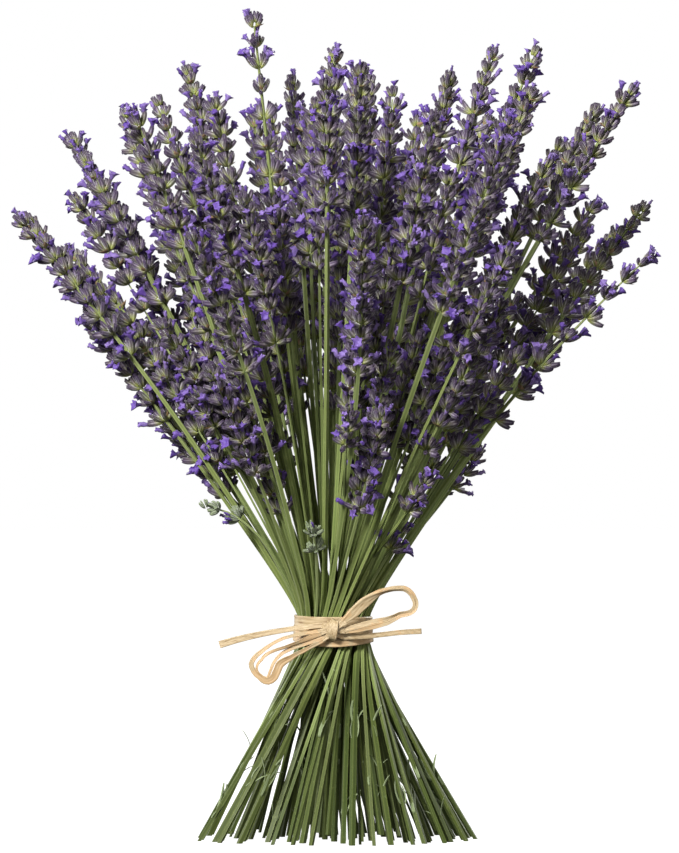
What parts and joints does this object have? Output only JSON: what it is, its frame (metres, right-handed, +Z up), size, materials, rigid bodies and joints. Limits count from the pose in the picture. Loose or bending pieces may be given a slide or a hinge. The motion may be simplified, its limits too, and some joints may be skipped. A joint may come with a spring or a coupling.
{
  "type": "bunch of dried lavender",
  "caption": "Spiral-tied bunch of dried lavender with a raffia band and bow, fanned out at the flower heads and standing on its cut stem ends.",
  "frame": {"origin": "on the surface that the cut stem ends stand on, under the middle of the bunch's box", "axes": "+Z up, from the cut ends towards the flower heads; the raffia knot and bow face -Y; +X to the right as seen from the bow's side"},
  "size_m": [0.2428, 0.244, 0.3167],
  "materials": {
    "sprig": "matte",
    "young_sprig": "matte",
    "raffia": "satin"
  },
  "bodies": {
    "root": {"bow_loop_left": "raffia", "bow_loop_right": "raffia", "lone_sprig_left": "sprig", "lone_sprig_right": "sprig", "raffia_band": "raffia", "raffia_knot": "raffia", "small_sprig_right": "sprig", "sprig_01": "sprig", "sprig_02": "sprig", "sprig_03": "sprig", "sprig_04": "sprig", "sprig_05": "sprig", "sprig_06": "sprig", "sprig_07": "sprig", "sprig_08": "sprig", "sprig_09": "sprig", "sprig_10": "sprig", "sprig_11": "sprig", "sprig_12": "sprig", "sprig_13": "sprig", "sprig_14": "sprig", "sprig_15": "sprig", "sprig_16": "sprig", "sprig_17": "sprig", "sprig_18": "sprig", "sprig_19": "sprig", "sprig_20": "sprig", "sprig_21": "sprig", "sprig_22": "sprig", "sprig_23": "sprig", "sprig_24": "sprig", "sprig_25": "sprig", "sprig_26": "sprig", "sprig_27": "sprig", "sprig_28": "sprig", "sprig_29": "sprig", "sprig_30": "sprig", "sprig_31": "sprig", "sprig_32": "sprig", "sprig_33": "sprig", "sprig_34": "sprig", "sprig_35": "sprig", "sprig_36": "sprig", "sprig_37": "sprig", "sprig_38": "sprig", "sprig_39": "sprig", "sprig_40": "sprig", "sprig_41": "sprig", "tail_left": "raffia", "tail_right": "raffia", "tall_sprig": "sprig", "tall_sprig_right": "sprig", "young_sprig_front": "young_sprig", "young_sprig_left": "young_sprig"}
  },
  "joints": []
}
